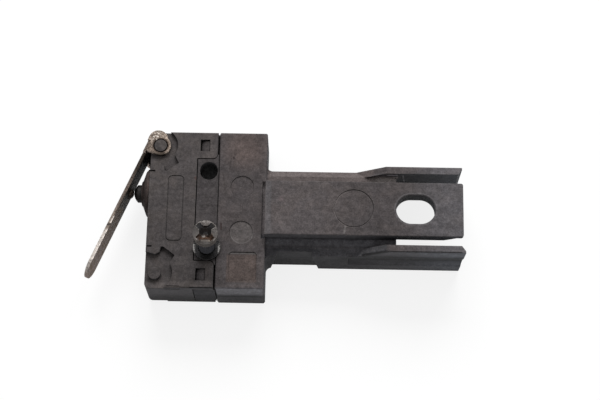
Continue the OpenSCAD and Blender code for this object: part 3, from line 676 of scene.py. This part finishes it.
# Lever: upper edge of the blade, painted shade at the root and a painted highlight paler towards the tip,
# with a dark stretch and painted glints along its inner corner and a dark nick
EDGE_Z = 5.65
EDGE_MIDDLE = (1.5, -1.0)
EDGE_END = (-2.3, -2.9)
EDGE_ROOT_TONE = (0.04, 0.032, 0.026)
EDGE_TOP_TONE = (0.125, 0.1, 0.085)
EDGE_MIDDLE_TONE = (0.24, 0.2, 0.172)
EDGE_END_TONE = (0.5, 0.455, 0.42)
GLINT_TONE = (0.74, 0.68, 0.63)
CORNER_STROKES = (
    Stroke((-14.3, 2.2, EDGE_Z), (-15.45, -0.6, EDGE_Z), 0.26, 0.85, (0.075, 0.06, 0.05)),
    Stroke((-17.85, -6.4, EDGE_Z), (-16.31, -2.65, EDGE_Z), 0.2, 0.9, GLINT_TONE),
    Stroke((-15.91, -1.7, EDGE_Z), (-15.62, -1.0, EDGE_Z), 0.2, 0.9, GLINT_TONE),
)
NICK = {"y": (-2.05, -1.75)}
NICK_TONE = (0.09, 0.076, 0.066)


def blade_edge(s, y):
    colour = s.mix(s.ramp(y, *ROOT_SPAN), EDGE_TOP_TONE, EDGE_ROOT_TONE)
    colour = s.mix(s.ramp(y, *EDGE_MIDDLE), colour, EDGE_MIDDLE_TONE)
    colour = s.mix(s.ramp(y, *EDGE_END), colour, EDGE_END_TONE)
    colour = s.strokes(colour, *CORNER_STROKES)
    return s.paint(colour, NICK_TONE, s.inside(soft=0.12, **NICK))


# Lever: lug around the far boss, with grime around the boss, painted glints at its far side and painted
# light on its near-facing side
LUG_Z = 6.3
BOSS = (-10.27, 8.2, LUG_Z)
BOSS_GRIME = (1.07, 0.97)
GRIME_TONE = (0.032, 0.021, 0.017)
LUG_GLINTS = (-11.0, 9.4, LUG_Z)
LUG_GLINT_NOISE = (0.5, 0.62)
LUG_GLINT_TONE = (0.75, 0.7, 0.64)
LUG_RUN = (BOSS[0] - 0.33, BOSS[0] + 0.87)
LUG_GRAIN = (0.36, 0.64)
LUG_NEAR = (-0.4, -0.8)
LUG_NEAR_LIGHT = (0.5, 0.4, 0.35)


def lug(s, colour, speck):
    colour = s.paint(colour, GRIME_TONE, s.ramp(s.distance(BOSS), *BOSS_GRIME), amount=0.8)
    # Painted glints on the lug's far side
    far_side = s.spot(LUG_GLINTS, radius=1.2, soft=0.9)
    colour = s.paint(colour, LUG_GLINT_TONE, far_side, s.ramp(speck, *LUG_GLINT_NOISE), amount=0.8)
    colour = s.shade(colour, s.ramp(s.axis(0), *LUG_RUN, before=1.0, after=1.4))
    grain = s.noise(size=6.5, detail=3.0, rough=0.7)
    colour = s.shade(colour, s.ramp(grain, *LUG_GRAIN, before=0.5, after=1.5))
    # Painted light on the lug's near-facing side
    return s.mix(s.ramp(s.normal_axis(1), *LUG_NEAR), colour, LUG_NEAR_LIGHT)


# Lever: outer face of the blade, and the stretch in y where the blade ends and the lugs start
WORN_DARK = (0.11, 0.087, 0.075)
WORN_PALE = (0.2, 0.165, 0.145)
WORN_NOISE = (0.4, 0.6)
LUG_START = (7.0, 7.5)
LEVER_SPECKLE = 0.45


def lever_marks(s, colour, up, speck, hollow):
    y = s.axis(1)
    blade = s.mix(up, blade_inside(s, y), blade_edge(s, y))
    cloud = s.noise(size=0.5, detail=3.0, rough=0.6)
    worn = s.mix(s.ramp(cloud, *WORN_NOISE), WORN_DARK, WORN_PALE)
    blade = s.mix(s.left(), blade, worn)
    whole = s.mix(s.ramp(y, *LUG_START), blade, lug(s, colour, speck))
    return s.vary(whole, speck, LEVER_SPECKLE)


# Screw: head painted lighter on its near half and at its left and right and darker on its far half and near
# corners, as light and shade; neck below it painted dark as the head's shade; rusty recess and painted
# glints
HEAD_X = -3.8
HEAD_SIDE = (0.5, 1.1)
HEAD_SHADING_SPAN = (-6.0, -4.3)
NECK = (11.4, 11.0)
NECK_SHADE = (0.055, 0.055, 0.062)
HEAD_RISE = (11.5, 11.7)
RECESS_SPAN = (0.95, 0.7)
RECESS_LIP = {"x": (-4.6, -2.95), "y": (-5.9, -5.2)}
RUST_END = (-5.1, -4.85)
RUST_NOISE = (0.42, 0.6)
RUST_DARK = (0.07, 0.035, 0.022)
RUST_PALE = (0.19, 0.12, 0.085)
RECESS_TONE = (0.14, 0.138, 0.145)
HEAD_GLINTS_AND_SHADE = (
    Spot((-4.05, -5.2, HEAD_TOP - 0.9), radius=0.33, amount=1.0, tone=(0.95, 0.89, 0.83)),
    Spot((-4.64, -6.1, HEAD_TOP), radius=0.4, amount=0.8, tone=(0.045, 0.037, 0.035)),
    Spot((-3.05, -6.1, HEAD_TOP), radius=0.38, amount=0.8, tone=(0.05, 0.042, 0.037)),
    Spot((-2.92, -5.36, HEAD_TOP), radius=0.25, amount=0.6, tone=(0.23, 0.21, 0.2)),
    Spot((-4.8, -5.15, HEAD_TOP), radius=0.25, amount=0.5, tone=(0.2, 0.185, 0.175)),
)
HEAD_GLINT = Stroke(
    start=(-4.25, -6.02, HEAD_TOP - 0.2),
    end=(-3.3, -6.02, HEAD_TOP - 0.2),
    half_width=0.14,
    amount=0.7,
    tone=(0.5, 0.44, 0.38),
)


def screw_marks(s, colour, up, speck, hollow):
    x, y, z = s.axis(0), s.axis(1), s.axis(2)
    # Painted light and shade: the head lighter on its near half and darker on its far half
    colour = s.shade(colour, s.ramp(y, *HEAD_SHADING_SPAN, before=1.6, after=0.5))
    from_middle = s.math("ABSOLUTE", s.math("SUBTRACT", x, HEAD_X))
    # Painted highlight: the head lighter at its left and right
    colour = s.shade(colour, s.ramp(from_middle, *HEAD_SIDE, before=1.0, after=1.35))
    # Painted shade: the neck below the head in one dark tone
    colour = s.mix(s.ramp(z, *NECK), colour, NECK_SHADE)
    head = s.ramp(z, *HEAD_RISE)
    recess = s.product(s.ramp(hollow, *RECESS_SPAN), head)
    lip = s.product(s.inside(soft=0.1, **RECESS_LIP), head)
    rust = s.mix(s.ramp(speck, *RUST_NOISE), RUST_DARK, RUST_PALE)
    inner = s.mix(s.ramp(y, *RUST_END), rust, RECESS_TONE)
    colour = s.mix(s.math("MAXIMUM", recess, lip), colour, inner)
    # Painted glints, and painted shade on the head's near corners
    colour = s.spots(colour, *HEAD_GLINTS_AND_SHADE)
    return s.strokes(colour, HEAD_GLINT)


# Washer: painted glints on its left and right rims, as distances from its middle and a stretch in y
WASHER_RIM = (1.3, 1.5)
WASHER_STRETCH = {"y": (-6.0, -4.7)}
WASHER_NOISE = (0.4, 0.6)
WASHER_GLINT_TONE = (0.28, 0.27, 0.26)


def washer_marks(s, colour, up, speck, hollow):
    from_middle = s.math("ABSOLUTE", s.math("SUBTRACT", s.axis(0), WASHER_X))
    rim = s.ramp(from_middle, *WASHER_RIM)
    stretch = s.inside(soft=0.3, **WASHER_STRETCH)
    broken = s.ramp(speck, *WASHER_NOISE, before=0.1, after=1.0)
    return s.paint(colour, WASHER_GLINT_TONE, rim, stretch, broken)


# Plastics
bracket = plastic(
    "bracket_black",
    bare=(0.042, 0.041, 0.044),
    dust=(0.078, 0.069, 0.07),
    warm=(0.088, 0.076, 0.075),
    worn=(0.16, 0.145, 0.142),
    deep_shade=0.75,
    marks=bracket_marks,
)
cover = plastic(
    "cover_grey",
    bare=(0.038, 0.036, 0.038),
    dust=(0.056, 0.05, 0.05),
    warm=(0.063, 0.055, 0.053),
    worn=(0.12, 0.11, 0.107),
    marks=cover_marks,
)
base = plastic(
    "base_grey",
    bare=(0.065, 0.064, 0.068),
    dust=(0.062, 0.056, 0.057),
    warm=(0.068, 0.061, 0.061),
    worn=(0.1, 0.094, 0.093),
    specular=0.02,
)
seal = plastic(
    "seal_resin",
    bare=(0.05, 0.035, 0.02),
    dust=(0.06, 0.042, 0.025),
    warm=(0.055, 0.038, 0.022),
    worn=(0.08, 0.06, 0.04),
    rough=0.35,
)
boot = plastic(
    "boot_rubber",
    bare=(0.045, 0.035, 0.033),
    dust=(0.06, 0.048, 0.045),
    warm=(0.07, 0.045, 0.04),
    worn=(0.08, 0.06, 0.055),
    rough=0.7,
)
plunger = plastic(
    "plunger_black",
    bare=(0.03, 0.028, 0.027),
    dust=(0.04, 0.037, 0.036),
    warm=(0.045, 0.04, 0.038),
    worn=(0.07, 0.065, 0.06),
    rough=0.5,
)

# Metals
lever = steel(
    "lever_steel",
    top=(0.22, 0.178, 0.148),
    side=(0.05, 0.042, 0.036),
    stain=(0.06, 0.047, 0.038),
    bright=(0.4, 0.35, 0.3),
    rough=0.5,
    specular=0.05,
    outer=0.75,
    marks=lever_marks,
)
screw = steel(
    "screw_steel",
    top=(0.12, 0.11, 0.105),
    side=(0.06, 0.054, 0.05),
    stain=(0.05, 0.042, 0.038),
    bright=(0.3, 0.285, 0.27),
    rough=0.36,
    specular=0.2,
    marks=screw_marks,
)
# Washer colours kept very dark: painted shade of the screw head over it
washer = steel(
    "washer_steel",
    top=(0.03, 0.029, 0.03),
    side=(0.02, 0.019, 0.02),
    stain=(0.015, 0.014, 0.014),
    bright=(0.14, 0.135, 0.13),
    rough=0.36,
    marks=washer_marks,
)
brass = steel(
    "terminal_brass",
    top=(0.62, 0.47, 0.22),
    side=(0.6, 0.45, 0.21),
    stain=(0.42, 0.3, 0.14),
    bright=(0.75, 0.6, 0.32),
    rough=0.3,
)
silver = steel(
    "contact_silver",
    top=(0.8, 0.8, 0.78),
    side=(0.78, 0.78, 0.76),
    stain=(0.6, 0.58, 0.54),
    bright=(0.9, 0.9, 0.88),
    rough=0.25,
)
bronze = steel(
    "blade_bronze",
    top=(0.62, 0.38, 0.18),
    side=(0.6, 0.36, 0.17),
    stain=(0.45, 0.27, 0.13),
    bright=(0.75, 0.5, 0.26),
    rough=0.28,
)
spring = steel(
    "spring_steel",
    top=(0.46, 0.46, 0.45),
    side=(0.45, 0.45, 0.44),
    stain=(0.36, 0.35, 0.33),
    bright=(0.6, 0.6, 0.58),
    rough=0.3,
)

LOOKS = {
    "mounting_bracket": bracket,
    "switch_cover": cover,
    "switch_base": base,
    "terminal_seal": seal,
    "plunger_boot": boot,
    "plunger": plunger,
    "actuator_lever": lever,
    "common_terminal": brass,
    "open_terminal": brass,
    "closed_terminal": brass,
    "open_contact": silver,
    "closed_contact": silver,
    "moving_blade": bronze,
    "moving_contact": silver,
    "snap_spring": spring,
    "fixing_screw": screw,
    "screw_washer": washer,
}
for name, material in LOOKS.items():
    nodes[name].data.materials.clear()
    nodes[name].data.materials.append(material)

# Snap spring: a copy with its own mesh, attached to the blade's body, stands in for the imported one, which
# is hidden
bow = bpy.data.objects.new("snap_spring_bow", nodes["snap_spring"].data.copy())
bpy.context.scene.collection.objects.link(bow)
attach(bow, "blade")
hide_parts("snap_spring")
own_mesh(bow)

# Floor, in metres: white to the camera and in reflections, pale where it lights the part from below
FLOOR_SIZE = 4
FLOOR_PLACE = (0.01, 0, -0.0002)
FLOOR_SHOWN = (0.2, 0.2, 0.2)
FLOOR_GLOW = 0.82


def floor_material():
    s = Shader("floor_pale")
    path = s.add("ShaderNodeLightPath")
    seen = path.outputs["Is Camera Ray"]
    for ray in ("Is Glossy Ray", "Is Transmission Ray"):
        seen = s.math("MAXIMUM", seen, path.outputs[ray])
    grain = s.ramp(s.noise(size=0.4, detail=3.0, rough=0.5), *NOISE_SPAN, before=0.85, after=0.87)
    s.surface(s.mix(seen, grain, FLOOR_SHOWN), rough=0.9, metal=0.0, specular=0.0)
    s.put(PLAIN, s.bsdf.inputs["Emission Color"])
    s.put(s.math("MULTIPLY", seen, FLOOR_GLOW), s.bsdf.inputs["Emission Strength"])
    return s.material


bpy.ops.mesh.primitive_plane_add(size=FLOOR_SIZE, location=FLOOR_PLACE)
floor = bpy.context.object
floor.name = "floor"
floor.data.materials.append(floor_material())

# Light, in metres and watts: one soft box above and behind the part, and an even white surround
LAMP_PLACE = (0.03, 0.36, 0.30)
LAMP_AIM = (0.006, 0, 0.004)
LAMP_SIZE = (0.40, 0.24)
LAMP_POWER = 2.2
SURROUND_STRENGTH = 0.45

lamp = bpy.data.lights.new("north_softbox", "AREA")
lamp.shape = "RECTANGLE"
lamp.size, lamp.size_y = LAMP_SIZE
lamp.energy = LAMP_POWER
softbox = bpy.data.objects.new("north_softbox", lamp)
bpy.context.scene.collection.objects.link(softbox)
softbox.location = LAMP_PLACE
softbox.rotation_euler = (Vector(LAMP_AIM) - Vector(LAMP_PLACE)).to_track_quat("-Z", "Y").to_euler()

world = bpy.data.worlds.new("studio")
bpy.context.scene.world = world
world.use_nodes = True
surround = world.node_tree.nodes["Background"]
surround.inputs["Color"].default_value = (1, 1, 1, 1)
surround.inputs["Strength"].default_value = SURROUND_STRENGTH

# Camera, as fitted to the photograph: lens and sensor in millimetres, place in metres, angles in degrees
LENS = 93.674
SENSOR_WIDTH = 36
CLIP_START = 0.005
CAMERA_PLACE = (0.00925, -0.060871, 0.186512)
CAMERA_TILT = 19.0661
CAMERA_ROLL = 0.306
CAMERA_TURN = 1.1047

camera_data = bpy.data.cameras.new("camera")
camera_data.lens = LENS
camera_data.sensor_width = SENSOR_WIDTH
camera_data.sensor_fit = "HORIZONTAL"
camera_data.clip_start = CLIP_START
camera = bpy.data.objects.new("camera", camera_data)
bpy.context.scene.collection.objects.link(camera)
camera_turn = Euler((radians(CAMERA_TILT), radians(CAMERA_ROLL), radians(CAMERA_TURN)))
camera.matrix_world = Matrix.LocRotScale(Vector(CAMERA_PLACE), camera_turn, None)
bpy.context.scene.camera = camera
bpy.context.scene.view_settings.view_transform = "Standard"
